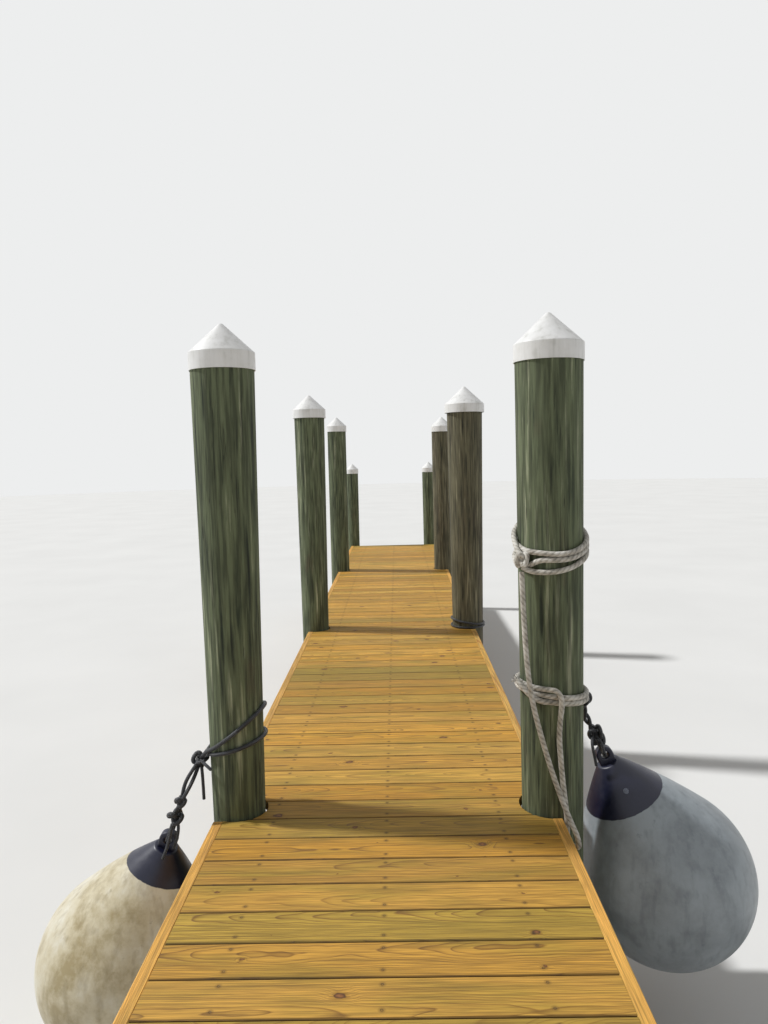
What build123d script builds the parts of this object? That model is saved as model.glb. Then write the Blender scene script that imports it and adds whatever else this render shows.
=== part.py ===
"""A narrow timber jetty on round piles, in four bays, cut off at the water's surface.

Lengths are in millimetres. The walkway runs along +Y to the shore, +X is its right-hand side,
and the feet of the piles stand at Z = 0, where they meet the water.
"""

import os
from math import acos, atan, atan2, cos, degrees, hypot, pi, radians, sin, sqrt, tan

from build123d import *

os.makedirs("parts", exist_ok=True)

# Walkway
deck_height = 1000
deck_width = 1220
bay_length = 3048
shore_bay_length = 2580
outer_overhang = 250
shore_gap = 30

# Deck boards, laid across the walkway and scribed round the piles
board_width = 140
board_thickness = 38
board_gap = 4
board_easing = 3
scribe_gap = 12

# Boards on edge along both sides and across the outer end
edge_thickness = 38
edge_pile_gap = 8

# Stringers, three lines in two lengths each: one in the middle, and one on each side, set in from
# the ends of the deck boards
stringer_thickness = 38
stringer_depth = 184
stringer_inset = 190
splice_gap = 4

# Cross beams, bolted to flats on the piles
beam_thickness = 38
beam_depth = 235
beam_overhang = 90
shore_beam_thickness = 89
pile_flat_width = 160
shore_pile_flat_width = 160

# Piles, one row for each pair from the outer end: how far the pile's centre stands outside the
# ends of the deck boards, height above the deck, diameter at the top, diameter at the deck, and
# play between the pile and its cap
left_piles = [
    (25, 1740, 250, 230, 1.0),
    (-40, 1740, 237, 198, 1.0),
    (-10, 1725, 233, 204, 7.5),
    (20, 1719, 216, 214, 5.0),
    (0, 1163, 175, 169, 1.5),
]
right_piles = [
    (0, 1735, 240, 215, 1.5),
    (25, 1741, 250, 230, 1.0),
    (-10, 1743, 272, 236, 13.0),
    (-5, 1688, 232, 226, 3.0),
    (-60, 1162, 190, 183, 1.0),
]
pile_top_chamfer = 3

# Caps, hollow cones that stand on the rims of the pile tops
cap_wall = 3
cap_skirt_height = 65
cap_slope = 43
cap_seat_gap = 0.3
cap_shoulder_radius = 5
cap_tip_radius = 16

# Fenders, inflated buoys of one size with a slotted lug at the neck, one on each side of the
# second pair of piles
fender_pair = 1
fender_radius = 350
fender_reach = 590
fender_flank_radius = 3000
fender_flank_start = 30
fender_neck_radius = 44
fender_neck_easing = 12
fender_lug_radius = 34
fender_lug_thickness = 34
fender_lug_easing = 6
fender_eye_radius = 15

# Where each fender's eye is, as a distance out from the pile's centre, along from it and above
# the deck, and the way the fender leans from there, in the same order
left_eye = (257, -70, -79)
left_lean = (210, 106, -541)
right_eye = (237, 146, 132)
right_lean = (255, 44, -530)

# Ropes: the black one round the left pile, the grey one round the right pile, and the doubled
# lengths that the fenders hang from
fender_rope = 16
mooring_rope = 20
lanyard_diameter = 26
eye_loop_radius = 26
eye_loop_leg = 60
rope_clearance = 0.5
rope_seat_gap = 0.3

# Turns of rope round a pile: height above the deck, rise in degrees towards the outside and
# towards the shore, and how many strands lie side by side
left_turns = [(325, -36.9, 0, 1), (268, -15, 0, 1)]
right_upper_turns = [(1035, 0, 23, 1), (976, 8.7, 20, 2)]
right_lower_turns = [(452, -8, 0, 3)]

# Knots: where the middle of each pile's knot is, out from the pile, along and above the deck
knot_radius = 24
knot_length = 48
knot_easing = 8
eye_knot_radius = 33
eye_knot_length = 36
left_knot = (134, -36, 212)
right_knot = (138, 50, 390)
hitch_radius = 19
hitch_height = 100
hitch_place = (-123, -92, 912)

# The slack bight of the grey rope, from its hitch down past the deck's edge and up again to the
# lower turns: out from the pile, along and above the deck
bight_points = [
    (-119, -103, 715),
    (-104, -124, 470),
    (-50, -142, 250),
    (2, -154, 85),
    (36, -162, 0),
    (56, -172, -48),
    (62, -172, -92),
    (30, -128, -92),
    (27, -128, -48),
    (26, -130, 22),
    (12, -134, 132),
    (3, -136, 240),
]
bight_tie = (10, 80)

# Levels and places that follow from the sizes above
beam_top = deck_height - board_thickness - stringer_depth
beam_bottom = beam_top - beam_depth
half_width = deck_width / 2


def pile_radius(pile, height):
    """The radius of a tapered pile at a height above the water."""
    _, rise, top_diameter, deck_diameter, _ = pile
    widening = (top_diameter - deck_diameter) * (height - deck_height) / rise
    return (deck_diameter + widening) / 2


def cap_radius(pile):
    """The outer radius of the skirt of a pile's cap."""
    _, _, top_diameter, _, play = pile
    return top_diameter / 2 + play + cap_wall


overall_length = (
    outer_overhang
    + bay_length * (len(right_piles) - 2)
    + shore_bay_length
    + max(cap_radius(left_piles[-1]), cap_radius(right_piles[-1]))
)
outer_end = -overall_length / 2
boards_start = outer_end + edge_thickness
pair_places = [
    outer_end + outer_overhang + bay_length * number for number in range(len(right_piles) - 1)
]
pair_places.append(pair_places[-1] + shore_bay_length)
shore_pile_radius = max(
    pile_radius(left_piles[-1], deck_height), pile_radius(right_piles[-1], deck_height)
)
shore_end = pair_places[-1] - shore_pile_radius - shore_gap


def pile_centre(side, pile):
    """How far across the walkway a pile's centre stands, from the ends of the deck boards."""
    return side * (half_width + pile[0])


def from_pile(side, pile, place, point):
    """A point given out from a pile, along from it and above the deck, in the part's frame."""
    outward, along, above = point
    return Vector(pile_centre(side, pile) + side * outward, place + along, deck_height + above)


def save(piece, name):
    """Labels a finished piece and writes its file."""
    piece.part.label = name
    export_step(piece.part, f"parts/{name}.step")


def make_pile(name, side, pile, place, flat_width, flat_sides):
    """A tapered pile with flats that seat the cross beams."""
    across = pile_centre(side, pile)
    top = deck_height + pile[1]
    radius = pile_radius(pile, top)
    with BuildPart() as post:
        with Locations((across, place, 0)):
            Cone(
                pile_radius(pile, 0),
                radius,
                top,
                align=(Align.CENTER, Align.CENTER, Align.MIN),
            )
        chamfer(post.edges().group_by(Axis.Z)[-1], pile_top_chamfer)
        for way in flat_sides:
            with Locations((across, place + way * flat_width / 2, beam_bottom)):
                Box(
                    2 * radius,
                    2 * radius,
                    beam_depth,
                    align=(Align.CENTER, Align.MAX if way < 0 else Align.MIN, Align.MIN),
                    mode=Mode.SUBTRACT,
                )
    save(post, name)


def make_cap(name, side, pile, place):
    """A hollow cone with a straight skirt, resting on the rim of the pile's top."""
    across = pile_centre(side, pile)
    rise = pile[1]
    angle = radians(cap_slope)
    outer = cap_radius(pile)
    inner = outer - cap_wall
    rim = pile_radius(pile, deck_height + rise) - pile_top_chamfer
    inner_lift = cap_wall / cos(angle)
    shoulder = deck_height + rise + cap_seat_gap - (outer - rim) * tan(angle) + inner_lift
    inner_shoulder = shoulder + cap_wall * tan(angle) - inner_lift
    skirt_bottom = shoulder - cap_skirt_height
    tip_centre = shoulder + outer * tan(angle) - cap_tip_radius / cos(angle)
    tip_start = 90 - cap_slope
    with BuildPart() as cap:
        with BuildSketch(Plane.XZ.offset(-place)) as outline:
            with BuildLine():
                tip = CenterArc((across, tip_centre), cap_tip_radius, tip_start, cap_slope)
                inner_tip = CenterArc(
                    (across, tip_centre), cap_tip_radius - cap_wall, tip_start, cap_slope
                )
                Polyline(
                    tip @ 0,
                    (across + outer, shoulder),
                    (across + outer, skirt_bottom),
                    (across + inner, skirt_bottom),
                    (across + inner, inner_shoulder),
                    inner_tip @ 0,
                )
                Line(tip @ 1, inner_tip @ 1)
            make_face()
            shoulder_corner = outline.vertices().group_by(Axis.X)[-1].sort_by(Axis.Y)[-1]
            fillet(shoulder_corner, cap_shoulder_radius)
        revolve(axis=Axis((across, place, 0), (0, 0, 1)))
    save(cap, name)


def make_deck_boards(name, board_places, scribed_piles):
    """The deck boards of one bay, each a separate solid, cut round the piles at their ends."""
    with BuildPart() as boards:
        with BuildSketch(Plane.YZ) as sections:
            with Locations(*[(place, deck_height) for place in board_places]):
                Rectangle(board_width, board_thickness, align=(Align.CENTER, Align.MAX))
            chamfer(sections.vertices(), board_easing)
        extrude(amount=half_width, both=True)
        for side, pile, place in scribed_piles:
            with Locations((pile_centre(side, pile), place, deck_height)):
                Cylinder(
                    pile_radius(pile, deck_height) + scribe_gap,
                    2 * board_thickness,
                    mode=Mode.SUBTRACT,
                )
    save(boards, name)


def make_edge_boards(name, side, spans):
    """Boards on edge along one side of a bay, flush with the deck, between the piles."""
    with BuildPart() as edge:
        for start, end in spans:
            with BuildSketch(Plane.XZ.offset(-start)) as section:
                with Locations((side * (half_width + edge_thickness / 2), deck_height)):
                    Rectangle(
                        edge_thickness,
                        deck_height - beam_top,
                        align=(Align.CENTER, Align.MAX),
                    )
                chamfer(section.vertices(), board_easing)
            extrude(amount=start - end)
    save(edge, name)


def make_end_board():
    """The board on edge across the outer end."""
    with BuildPart() as end:
        with BuildSketch(Plane.YZ) as section:
            with Locations((outer_end + edge_thickness / 2, deck_height)):
                Rectangle(
                    edge_thickness,
                    deck_height - beam_top,
                    align=(Align.CENTER, Align.MAX),
                )
            chamfer(section.vertices(), board_easing)
        extrude(amount=half_width + edge_thickness, both=True)
    save(end, "end_board")


def make_stringer(name, across):
    """One line of stringers under the deck, spliced over the middle pair of piles."""
    splice = pair_places[len(pair_places) // 2]
    lengths = [
        (boards_start, splice - splice_gap / 2),
        (splice + splice_gap / 2, shore_end),
    ]
    with BuildPart() as stringer:
        for start, end in lengths:
            with Locations((across, start, beam_top)):
                Box(
                    stringer_thickness,
                    end - start,
                    stringer_depth,
                    align=(Align.CENTER, Align.MIN, Align.MIN),
                )
    save(stringer, name)


def make_cross_beams(name, place):
    """A pair of cross beams, one on each side of a pair of piles."""
    reach = (pile_flat_width + beam_thickness) / 2
    with BuildPart() as beams:
        with Locations((0, place - reach, beam_bottom), (0, place + reach, beam_bottom)):
            Box(
                deck_width + 2 * beam_overhang,
                beam_thickness,
                beam_depth,
                align=(Align.CENTER, Align.CENTER, Align.MIN),
            )
    save(beams, name)


def make_shore_beam():
    """The thick beam that carries the shore end of the deck in front of the last piles."""
    with BuildPart() as beam:
        with Locations((0, pair_places[-1] - shore_pile_flat_width / 2, beam_bottom)):
            Box(
                deck_width + 2 * beam_overhang,
                shore_beam_thickness,
                beam_depth,
                align=(Align.CENTER, Align.MAX, Align.MIN),
            )
    save(beam, "shore_beam")


def board_places():
    """The centres of all the deck boards, spaced evenly from the outer end to the shore."""
    run = shore_end - boards_start
    count = int((run + board_gap) // (board_width + board_gap))
    pitch = (run - board_width) / (count - 1)
    return [boards_start + board_width / 2 + pitch * number for number in range(count)]


def edge_spans(piles, bay):
    """The stretches of edge board in a bay, which stop short of the piles."""
    near, far = pair_places[bay], pair_places[bay + 1]
    near_gap = pile_radius(piles[bay], deck_height) + edge_pile_gap
    far_gap = pile_radius(piles[bay + 1], deck_height) + edge_pile_gap
    spans = [(near + near_gap, min(far - far_gap, shore_end))]
    if bay == 0:
        spans.append((boards_start, near - near_gap))
    return spans


def turn_disc(side, pile, place, turn, diameter, play=0, mode=Mode.ADD):
    """Adds or cuts the slanted disc that a group of turns of rope fills, pile and all."""
    height, outward_rise, shore_rise, strands = turn
    level = deck_height + height
    run = (side * tan(radians(outward_rise)), tan(radians(shore_rise)))
    slant = atan(hypot(*run))
    heading = atan2(run[1], run[0])
    uphill = (cos(heading) * cos(slant), sin(heading) * cos(slant), sin(slant))
    normal = (-cos(heading) * sin(slant), -sin(heading) * sin(slant), cos(slant))
    reach = pile_radius(pile, level) + rope_clearance + diameter + play
    centre = (pile_centre(side, pile), place, level)
    with BuildSketch(Plane(origin=centre, x_dir=uphill, z_dir=normal)) as disc:
        Ellipse(reach / cos(slant), reach)
    extrude(disc.sketch, amount=strands * diameter / 2 + play, both=True, mode=mode)


def cut_pile(side, pile, place, clearance):
    """Cuts away the pile and a clearance round it."""
    top = deck_height + pile[1]
    with Locations((pile_centre(side, pile), place, 0)):
        Cone(
            pile_radius(pile, 0) + clearance,
            pile_radius(pile, top) + clearance,
            top,
            align=(Align.CENTER, Align.CENTER, Align.MIN),
            mode=Mode.SUBTRACT,
        )


def make_turns(name, side, pile, place, turns, diameter):
    """The outer shape of the turns of a rope round a pile."""
    with BuildPart() as coil:
        for turn in turns:
            turn_disc(side, pile, place, turn, diameter)
        cut_pile(side, pile, place, rope_clearance)
    save(coil, name)


def make_knots(name, side, pile, place, turns, diameter, knots):
    """Knots as short round blocks, hollowed where they lie against the turns and the pile."""
    with BuildPart() as blocks:
        for seat, radius, length in knots:
            with BuildSketch(seat):
                Circle(radius)
            extrude(amount=length)
        fillet(blocks.edges().filter_by(GeomType.CIRCLE), knot_easing)
        for turn in turns:
            turn_disc(side, pile, place, turn, diameter, rope_seat_gap, Mode.SUBTRACT)
        cut_pile(side, pile, place, rope_clearance)
    save(blocks, name)


def make_rope(name, points, diameter):
    """A length of rope through the given points, with a round bend at each of them."""
    runs = [end - start for start, end in zip(points, points[1:])]
    bends = [
        0.45 * min(before.length, after.length) / tan(radians(before.get_angle(after)) / 2)
        for before, after in zip(runs, runs[1:])
    ]
    with BuildPart() as rope:
        with BuildLine() as path:
            FilletPolyline(*points, radius=bends)
        with BuildSketch(Plane(origin=path.line @ 0, z_dir=path.line % 0)):
            Circle(diameter / 2)
        sweep()
    save(rope, name)
    length = sum(edge.length for edge in path.edges())
    filled = rope.part.volume / (pi * diameter**2 / 4 * length)
    print(name, "bends", [round(bend) for bend in bends])
    print(name, "length", round(length), "volume over section times length", round(filled, 4))


def make_eye_loop(name, eye):
    """The fold of rope that passes through a fender's eye, up to its knot."""
    bearing = eye_loop_radius - fender_rope / 2 - fender_lug_easing - rope_seat_gap
    rise = sqrt(bearing**2 - (fender_lug_thickness / 2 - fender_lug_easing) ** 2)
    middle = fender_eye_radius + fender_lug_easing + rise
    radius = eye_loop_radius
    with BuildPart() as loop:
        with BuildLine(Plane(origin=eye.origin, x_dir=eye.x_dir, z_dir=-eye.y_dir)) as path:
            Line((-radius, middle + eye_loop_leg), (-radius, middle))
            CenterArc((0, middle), radius, 180, 180)
            Line((radius, middle), (radius, middle + eye_loop_leg))
        with BuildSketch(Plane(origin=path.line @ 0, z_dir=path.line % 0)):
            Circle(fender_rope / 2)
        sweep()
    save(loop, name)
    return middle + eye_loop_leg


def make_fender(name, eye):
    """An inflated buoy, a ball drawn out to a neck and a lug with an eye through it."""
    lug_plane = Plane(origin=eye.origin, x_dir=eye.y_dir, z_dir=eye.x_dir)
    start = radians(fender_flank_start)
    inset = fender_flank_radius - fender_radius
    flank_centre = (-inset * cos(start), -fender_reach - inset * sin(start))
    turn = acos((fender_neck_radius - flank_centre[0]) / fender_flank_radius)
    with BuildPart() as lug:
        with BuildSketch(lug_plane):
            Circle(fender_lug_radius)
            with Locations((0, -fender_lug_radius - fender_neck_radius)):
                Circle(fender_neck_radius - fender_neck_easing)
            make_hull()
            Circle(fender_eye_radius, mode=Mode.SUBTRACT)
        extrude(amount=fender_lug_thickness / 2, both=True)
        fillet(lug.faces().filter_by(lug_plane).edges(), fender_lug_easing)
    with BuildPart() as fender:
        with BuildSketch(lug_plane) as outline:
            with BuildLine():
                ball = CenterArc((0, -fender_reach), fender_radius, -90, 90 + fender_flank_start)
                flank = CenterArc(
                    flank_centre,
                    fender_flank_radius,
                    fender_flank_start,
                    degrees(turn) - fender_flank_start,
                )
                neck = flank @ 1
                Polyline(neck, (0, neck.Y), ball @ 0)
            make_face()
            fillet(outline.vertices().sort_by_distance(neck)[0], fender_neck_easing)
        revolve(axis=Axis(eye.origin, eye.z_dir))
        add(lug.part)
    save(fender, name)


for number, place in enumerate(pair_places, start=1):
    at_shore = number == len(pair_places)
    flat_width = shore_pile_flat_width if at_shore else pile_flat_width
    flat_sides = [-1] if at_shore else [-1, 1]
    for name, side, piles in (("left", -1, left_piles), ("right", 1, right_piles)):
        pile = piles[number - 1]
        make_pile(f"pile_{number}_{name}", side, pile, place, flat_width, flat_sides)
        make_cap(f"cap_{number}_{name}", side, pile, place)
    if not at_shore:
        make_cross_beams(f"cross_beams_{number}", place)

for bay in range(len(pair_places) - 1):
    bay_start = pair_places[bay] if bay else boards_start
    bay_end = pair_places[bay + 1]
    scribed_piles = [
        (side, piles[pair], pair_places[pair])
        for pair in (bay, bay + 1)
        if pair < len(pair_places) - 1
        for side, piles in ((-1, left_piles), (1, right_piles))
    ]
    boards_here = [place for place in board_places() if bay_start <= place < bay_end]
    make_deck_boards(f"deck_boards_bay_{bay + 1}", boards_here, scribed_piles)
    make_edge_boards(f"edge_board_left_bay_{bay + 1}", -1, edge_spans(left_piles, bay))
    make_edge_boards(f"edge_board_right_bay_{bay + 1}", 1, edge_spans(right_piles, bay))

make_stringer("stringer_left", stringer_inset - half_width)
make_stringer("stringer_middle", 0)
make_stringer("stringer_right", half_width - stringer_inset)
make_shore_beam()
make_end_board()

place = pair_places[fender_pair]
left_pile = left_piles[fender_pair]
right_pile = right_piles[fender_pair]
make_turns("rope_turns_left", -1, left_pile, place, left_turns, fender_rope)
make_turns("rope_turns_lower_right", 1, right_pile, place, right_lower_turns, mooring_rope)
make_turns("rope_turns_upper_right", 1, right_pile, place, right_upper_turns, mooring_rope)

for name, side, pile, turns, rope, eye_point, lean, knot_point in (
    ("left", -1, left_pile, left_turns, fender_rope, left_eye, left_lean, left_knot),
    ("right", 1, right_pile, right_lower_turns, mooring_rope, right_eye, right_lean, right_knot),
):
    fall = Vector(side * lean[0], lean[1], lean[2]).normalized()
    eye_centre = from_pile(side, pile, place, eye_point)
    eye = Plane(origin=eye_centre, x_dir=(0, 1, 0), z_dir=-fall)
    make_fender(f"fender_{name}", eye)
    loop_end = make_eye_loop(f"eye_loop_{name}", eye)
    eye_knot = Plane(origin=eye_centre - fall * loop_end, z_dir=-fall)
    lanyard_start = eye_centre - fall * (loop_end + eye_knot_length)
    knot_middle = from_pile(side, pile, place, knot_point)
    bend = lanyard_start - fall * ((knot_middle - lanyard_start).length / 2)
    tie = (knot_middle - bend).normalized()
    knot_end = knot_middle - tie * (knot_length / 2)
    make_rope(f"lanyard_{name}", [lanyard_start, bend, knot_end], lanyard_diameter)
    knots = [
        (eye_knot, eye_knot_radius, eye_knot_length),
        (Plane(origin=knot_end, z_dir=tie), knot_radius, knot_length),
    ]
    make_knots(f"knots_{name}", side, pile, place, turns, rope, knots)

hitch_foot = from_pile(1, right_pile, place, hitch_place)
bight = [hitch_foot, *[from_pile(1, right_pile, place, point) for point in bight_points]]
hitch_way = (hitch_foot - bight[1]).normalized()
hitch = (Plane(origin=hitch_foot, z_dir=hitch_way), hitch_radius, hitch_height)
make_knots("hitch_right", 1, right_pile, place, right_upper_turns, mooring_rope, [hitch])

height, outward_rise, _, strands = right_lower_turns[0]
tie_across, tie_length = bight_tie
tie_circle = pile_radius(right_pile, deck_height + height) + rope_clearance + mooring_rope / 2
tie_along = -sqrt(tie_circle**2 - tie_across**2)
tie_way = Vector(-sin(radians(outward_rise)), 0, cos(radians(outward_rise)))
tie_top = from_pile(1, right_pile, place, (0, tie_along, height))
tie_top = tie_top + Vector(tie_across, 0, tie_across * tan(radians(outward_rise)))
tie_top = tie_top - tie_way * (strands * mooring_rope / 2)
bight += [tie_top - tie_way * tie_length, tie_top]
make_rope("mooring_bight", bight, mooring_rope)
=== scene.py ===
# %% [markdown]
# # A timber jetty on round piles
# The solids of the jetty come ready made from CAD, each in its true place. This lesson gives
# them their looks: treated pine with its grain, weathered piles, moulded caps, screws, bolts,
# and the ropes and fenders of the second pair of piles. Lengths are in metres. The walkway
# runs along +Y from its outer end, and the feet of the piles stand at Z = 0.

# %% The frame
from math import atan2, cos, hypot, pi, radians, sin, tau
from mathutils import Matrix, Vector
import bmesh
import bpy


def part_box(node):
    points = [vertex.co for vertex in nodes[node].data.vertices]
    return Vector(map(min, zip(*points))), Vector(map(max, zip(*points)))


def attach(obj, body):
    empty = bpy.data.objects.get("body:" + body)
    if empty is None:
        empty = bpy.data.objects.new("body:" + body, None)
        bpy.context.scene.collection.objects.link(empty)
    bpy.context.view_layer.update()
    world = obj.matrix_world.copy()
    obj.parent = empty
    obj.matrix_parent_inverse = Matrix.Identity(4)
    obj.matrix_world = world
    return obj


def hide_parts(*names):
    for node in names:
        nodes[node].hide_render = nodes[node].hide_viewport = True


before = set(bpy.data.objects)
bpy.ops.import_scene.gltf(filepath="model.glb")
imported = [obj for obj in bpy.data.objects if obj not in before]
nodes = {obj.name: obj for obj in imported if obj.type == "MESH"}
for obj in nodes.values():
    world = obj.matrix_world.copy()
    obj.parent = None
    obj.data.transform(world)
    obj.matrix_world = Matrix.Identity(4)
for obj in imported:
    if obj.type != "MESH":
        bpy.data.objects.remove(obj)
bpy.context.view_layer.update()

# %% [markdown]
# ## Camera
# The camera looks along the deck from just inside the outer end, at chest height, turned a
# little to the left and a little down. It could be turned with Euler angles, but three turns
# multiplied in the order in which one makes them (heading, nod, tilt) are easier to read. The
# lens is short, because a telephone's main camera sees wide.

# %% Camera
EYE = Vector((0.0668, -5.5453, 2.3414))
HEADING, NOD, TILT = radians(1.033), radians(-4.202), radians(-1.421)
camera = bpy.data.objects.new("camera", bpy.data.cameras.new("camera"))
camera.data.sensor_width = 36
camera.data.lens = 26.44
turns = Matrix.Rotation(HEADING, 4, "Z") @ Matrix.Rotation(pi / 2 + NOD, 4, "X")
camera.matrix_world = Matrix.Translation(EYE) @ turns @ Matrix.Rotation(TILT, 4, "Z")
bpy.context.scene.collection.objects.link(camera)
bpy.context.scene.camera = camera
print("lens", camera.data.lens, "mm")

# %% [markdown]
# ## How a rope is made here
# These ropes are so worn that they look like smooth round cords until one comes close. The
# centre line of each is a NURBS curve through a few given points, which bends as
# smoothly as a real rope. Its fine points are read back and given to a round curve, which
# becomes a mesh. That mesh has a UV map along and around the rope, and the material draws the
# strands on it, in metres. Strands modelled one by one would need ten times as many faces.

# %% The centre line of a rope
STEP = 0.004


def centre_line(points):
    """Evenly spaced points of a smooth curve that follows the given ones."""
    curve = bpy.data.curves.new("route", "CURVE")
    curve.dimensions = "3D"
    curve.resolution_u = 24
    spline = curve.splines.new("NURBS")
    spline.points.add(len(points) - 1)
    for control, point in zip(spline.points, points):
        control.co = (*point, 1)
    spline.order_u = 3
    spline.use_endpoint_u = True
    holder = bpy.data.objects.new("route", curve)
    mesh = bpy.data.meshes.new_from_object(holder)
    fine = [vertex.co.copy() for vertex in mesh.vertices]
    bpy.data.objects.remove(holder)
    bpy.data.meshes.remove(mesh)
    bpy.data.curves.remove(curve)
    line, left = [fine[0]], STEP
    for start, end in zip(fine, fine[1:]):
        run = (end - start).length
        while left <= run:
            line.append(start.lerp(end, left / run))
            left += STEP
        left -= run
    if (line[-1] - fine[-1]).length < STEP / 2:
        line.pop()
    return [*line, fine[-1]]


def length_of(line):
    """The length along a line of points."""
    return sum((b - a).length for a, b in zip(line, line[1:]))


# %% Winding one line round another
def wind(line, offset, lay, start):
    """The line of a rope wound round another, one turn in each length of lay."""
    ahead = (line[1] - line[0]).normalized()
    side = ahead.orthogonal().normalized()
    wound, gone = [], 0
    for number, point in enumerate(line):
        after = line[min(number + 1, len(line) - 1)]
        before = line[max(number - 1, 0)]
        turned = (after - before).normalized()
        side.rotate(ahead.rotation_difference(turned))
        side = (side - turned * side.dot(turned)).normalized()
        ahead = turned
        gone += (point - before).length
        angle = start + tau * gone / lay
        wound.append(point + (side * cos(angle) + turned.cross(side) * sin(angle)) * offset)
    return wound


# %% From lines to a mesh
def mesh_piece(name, shape):
    """A piece that rides on the jetty, made of a finished bmesh."""
    mesh = bpy.data.meshes.new(name)
    shape.to_mesh(mesh)
    shape.free()
    piece = bpy.data.objects.new(name, mesh)
    bpy.context.scene.collection.objects.link(piece)
    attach(piece, "root")
    print(name, len(mesh.polygons), "faces")
    return piece


def rope_piece(name, ropes, sides=2):
    """One mesh of the round ropes given as (line, diameter), with closed ends."""
    shape = bmesh.new()
    for line, diameter in ropes:
        curve = bpy.data.curves.new(name, "CURVE")
        curve.dimensions = "3D"
        curve.bevel_depth = 1
        curve.bevel_resolution = sides
        curve.use_fill_caps = True
        spline = curve.splines.new("POLY")
        spline.points.add(len(line) - 1)
        for control, point in zip(spline.points, line):
            control.co = (*point, 1)
            control.radius = diameter / 2
        holder = bpy.data.objects.new(name, curve)
        mesh = bpy.data.meshes.new_from_object(holder)
        for corner in mesh.uv_layers[0].data:
            corner.uv.x *= length_of(line)
        shape.from_mesh(mesh)
        bpy.data.objects.remove(holder)
        bpy.data.curves.remove(curve)
        bpy.data.meshes.remove(mesh)
    piece = mesh_piece(name, shape)
    piece.data.shade_smooth()
    return piece


def rope(name, route, diameter, node=None):
    """One rope along a route, which may replace a node, and its centre line."""
    line = centre_line(route)
    piece = rope_piece(name, [(line, diameter)])
    if node:
        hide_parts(node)
    print(name, round(length_of(line), 3), "m")
    return piece, line


# %% [markdown]
# ## The black rope on the left pile
# The left fender hangs from a black rope that goes twice round the pile. One turn climbs
# steeply to the deck side and the other lies flatter, and both run into one knot on the outer
# side. The turns are points on a circle round the pile, each at the height of its own slant.

# %% Turns round the left pile
LEFT_PILE = Vector((-0.57, -2.7385))
RIGHT_PILE = Vector((0.635, -2.7385))
BLACK_ROPE, GREY_ROPE, DOUBLED = 0.016, 0.02, 0.026


def round_pile(pile, degrees, reach, height, rise=(0, 0)):
    """A point beside a pile, at a height that rises across and along the walkway."""
    across, along = reach * cos(radians(degrees)), reach * sin(radians(degrees))
    level = height + rise[0] * across + rise[1] * along
    return Vector((pile.x + across, pile.y + along, level))


def winding(pile, first, end, reach, height, rise=(0, 0)):
    """Points round a pile, one in every 20 degrees."""
    return [round_pile(pile, degrees, reach, height, rise) for degrees in range(first, end, 20)]


LEFT_REACH, STEEP, FLAT = 0.1128, (0.751, 0), (0.268, 0)
left_knot = Vector((-0.704, -2.7745, 1.212))
left_route = [
    left_knot,
    round_pile(LEFT_PILE, 207, 0.128, 1.33, STEEP),
    *winding(LEFT_PILE, 230, 520, LEFT_REACH, 1.325, STEEP),
    *winding(LEFT_PILE, 530, 870, LEFT_REACH, 1.268, FLAT),
    round_pile(LEFT_PILE, 876, 0.116, 1.262, FLAT),
    round_pile(LEFT_PILE, 896, 0.126, 1.258, FLAT),
    left_knot - Vector((0, 0, 0.008)),
]
left_turns, left_line = rope(
    "left_rope_turns", left_route, BLACK_ROPE, "rope_turns_left"
)

# %% [markdown]
# ## Doubled ropes and eye loops
# Below each knot the rope is doubled: two parts twisted together run down to a second knot,
# and from there one part passes through the eye of the fender and back. The two parts are
# wound round one centre line. On the left they stand a little apart in the middle, as a
# doubled rope does where its twist has slipped.

# %% Doubled ropes
PART = 0.015


def doubled(name, route, node, lay, gape):
    """Two ropes twisted together along a route, a little apart in its middle."""
    line = centre_line(route)
    close = [wind(line, PART / 2, lay, start) for start in (0, pi)]
    wide = [wind(line, PART / 2 + gape, lay, start) for start in (0, pi)]
    last = len(line) - 1
    ropes = [
        ([a.lerp(b, sin(pi * n / last) ** 2) for n, (a, b) in enumerate(zip(near, far))],
         PART)
        for near, far in zip(close, wide)
    ]
    piece = rope_piece(name, ropes)
    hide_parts(node)
    print(name, round(length_of(line), 3), "m")
    return piece, line


left_lanyard_route = [
    Vector((-0.7839, -2.8302, 1.032)),
    Vector((-0.7475, -2.8486, 1.1258)),
    Vector((-0.7126, -2.7891, 1.195)),
    Vector((-0.7055, -2.777, 1.2091)),
]
right_lanyard_route = [
    Vector((0.8197, -2.6015, 1.2407)),
    Vector((0.781, -2.6082, 1.3211)),
    Vector((0.7748, -2.6703, 1.3744)),
    Vector((0.7734, -2.6846, 1.3867)),
]
left_lanyard, left_lanyard_line = doubled(
    "left_lanyard", left_lanyard_route, "lanyard_left", 0.36, 0.0035
)
right_lanyard, right_lanyard_line = doubled(
    "right_lanyard", right_lanyard_route, "lanyard_right", 0.12, 0.001
)

# %% Eye loops
LOOP, LEG, MIDDLE = 0.026, 0.06, 0.02499
# The fold through an eye: sideways in shares of LOOP, and up from the fold's middle.
FOLD = (
    (-1, LEG), (-1.02, 0.034), (-1.02, 0.008), (-0.98, -0.014), (-0.52, -0.0275),
    (0.52, -0.0275), (0.98, -0.014), (1.02, 0.008), (1.02, 0.034), (1, LEG),
)
left_eye = Vector((-0.827, -2.8085, 0.921))
left_up, left_hole = Vector((0.356, -0.1797, 0.9171)), Vector((0.065, 0.9837, 0.1675))
right_eye = Vector((0.872, -2.5925, 1.132))
right_up, right_hole = Vector((-0.4324, -0.0746, 0.8986)), Vector((-0.0323, 0.9972, 0.0672))


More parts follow.
